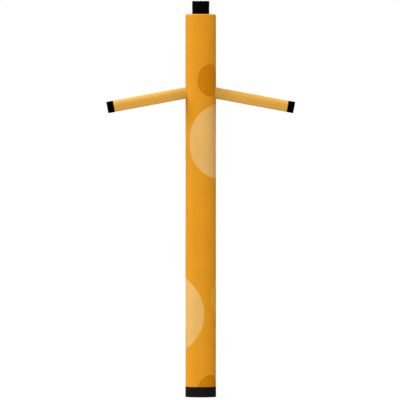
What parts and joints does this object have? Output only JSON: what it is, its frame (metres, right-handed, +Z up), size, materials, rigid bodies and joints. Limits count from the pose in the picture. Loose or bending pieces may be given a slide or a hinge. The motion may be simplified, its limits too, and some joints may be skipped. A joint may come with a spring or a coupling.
{
  "type": "inflatable air dancer",
  "caption": "Tall inflated orange cloth tube with printed discs, hollow drooping arms, black cuffs and base band, and an open vented head with an upright black fringe.",
  "frame": {"origin": "on the floor, at the middle of the open base band", "axes": "+Z up along the tube; +X towards the arm on the right of someone facing the front; the front faces -Y"},
  "size_m": [2.8632, 0.4666, 6],
  "materials": {
    "body_cloth": "smooth coated ripstop nylon, soft sheen, printed with large discs",
    "arm_cloth": "smooth coated ripstop nylon, soft sheen",
    "cuff_cloth": "matt black woven nylon",
    "band_cloth": "matt black heavy woven nylon",
    "fringe_cloth": "black nylon strips with a faint sheen"
  },
  "bodies": {
    "root": {"body_tube": "body_cloth", "head_panel": "body_cloth", "arm_left": "arm_cloth", "arm_right": "arm_cloth", "cuff_left": "cuff_cloth", "cuff_right": "cuff_cloth", "base_band": "band_cloth", "hair": "fringe_cloth"}
  },
  "joints": []
}
